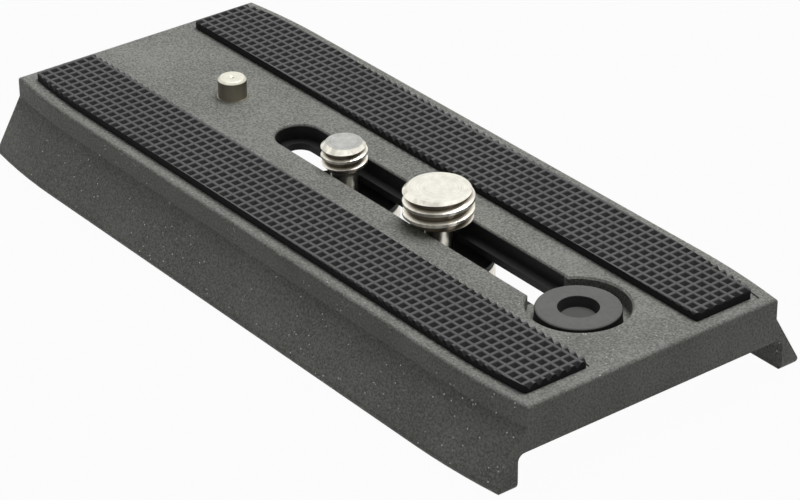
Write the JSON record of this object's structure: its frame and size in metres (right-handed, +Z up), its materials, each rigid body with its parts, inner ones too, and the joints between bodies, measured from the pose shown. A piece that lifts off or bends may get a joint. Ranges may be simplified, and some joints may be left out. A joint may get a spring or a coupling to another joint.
{
  "type": "quick release plate",
  "caption": "Sliding dovetail plate for a video tripod head, with waffled rubber pads, a stepped slot holding small and large camera screws, a sprung locating pin and a rubber plug.",
  "frame": {"origin": "middle of the plate's length and width, at the height of the bottom of its feet", "axes": "+X along the plate from the locating pin towards the plug, +Y across it from the pad that is nearer in the picture to the farther one, +Z up, out of the deck"},
  "size_m": [0.1122, 0.0512, 0.0161],
  "materials": {
    "plate_coat": "fine textured powder coat with light flecks on die-cast aluminium",
    "pad_rubber": "matte black rubber",
    "screw_nickel": "bright nickel plate, turned",
    "washer_plastic": "matte black nylon",
    "plug_rubber": "matte dark grey rubber",
    "pin_steel": "turned steel",
    "spring_steel": "drawn spring wire",
    "cap_steel": "plain pressed disc"
  },
  "bodies": {
    "plate": {"plate_body": "plate_coat", "near_pad": "pad_rubber", "far_pad": "pad_rubber", "end_plug": "plug_rubber", "pin_cap": "cap_steel", "pin_spring": "spring_steel"},
    "small_washer_body": {"small_screw_washer": "washer_plastic"},
    "small_screw_body": {"small_screw": "screw_nickel"},
    "large_washer_body": {"large_screw_washer": "washer_plastic"},
    "large_screw_body": {"large_screw": "screw_nickel"},
    "pin_body": {"locating_pin": "pin_steel"}
  },
  "joints": [
    {"name": "small_screw_slide", "type": "slide", "parent": "plate", "child": "small_washer_body", "axis": [1, 0, 0], "range_m": [-0.0099, 0.0024]},
    {"name": "small_screw_turn", "type": "hinge", "parent": "small_washer_body", "child": "small_screw_body", "pos_m": [-0.0064, 0, 0.0113], "axis": [0, 0, 1], "continuous": true},
    {"name": "large_screw_slide", "type": "slide", "parent": "plate", "child": "large_washer_body", "axis": [1, 0, 0], "range_m": [-0.0024, 0.013]},
    {"name": "large_screw_turn", "type": "hinge", "parent": "large_washer_body", "child": "large_screw_body", "pos_m": [0.0139, 0, 0.0113], "axis": [0, 0, 1], "continuous": true},
    {"name": "pin_press", "type": "slide", "parent": "plate", "child": "pin_body", "axis": [0, 0, 1], "range_m": [-0.0029, 0], "stiffness_N_per_m": 600, "springref_m": 0.002, "deforming": ["pin_spring"]}
  ]
}
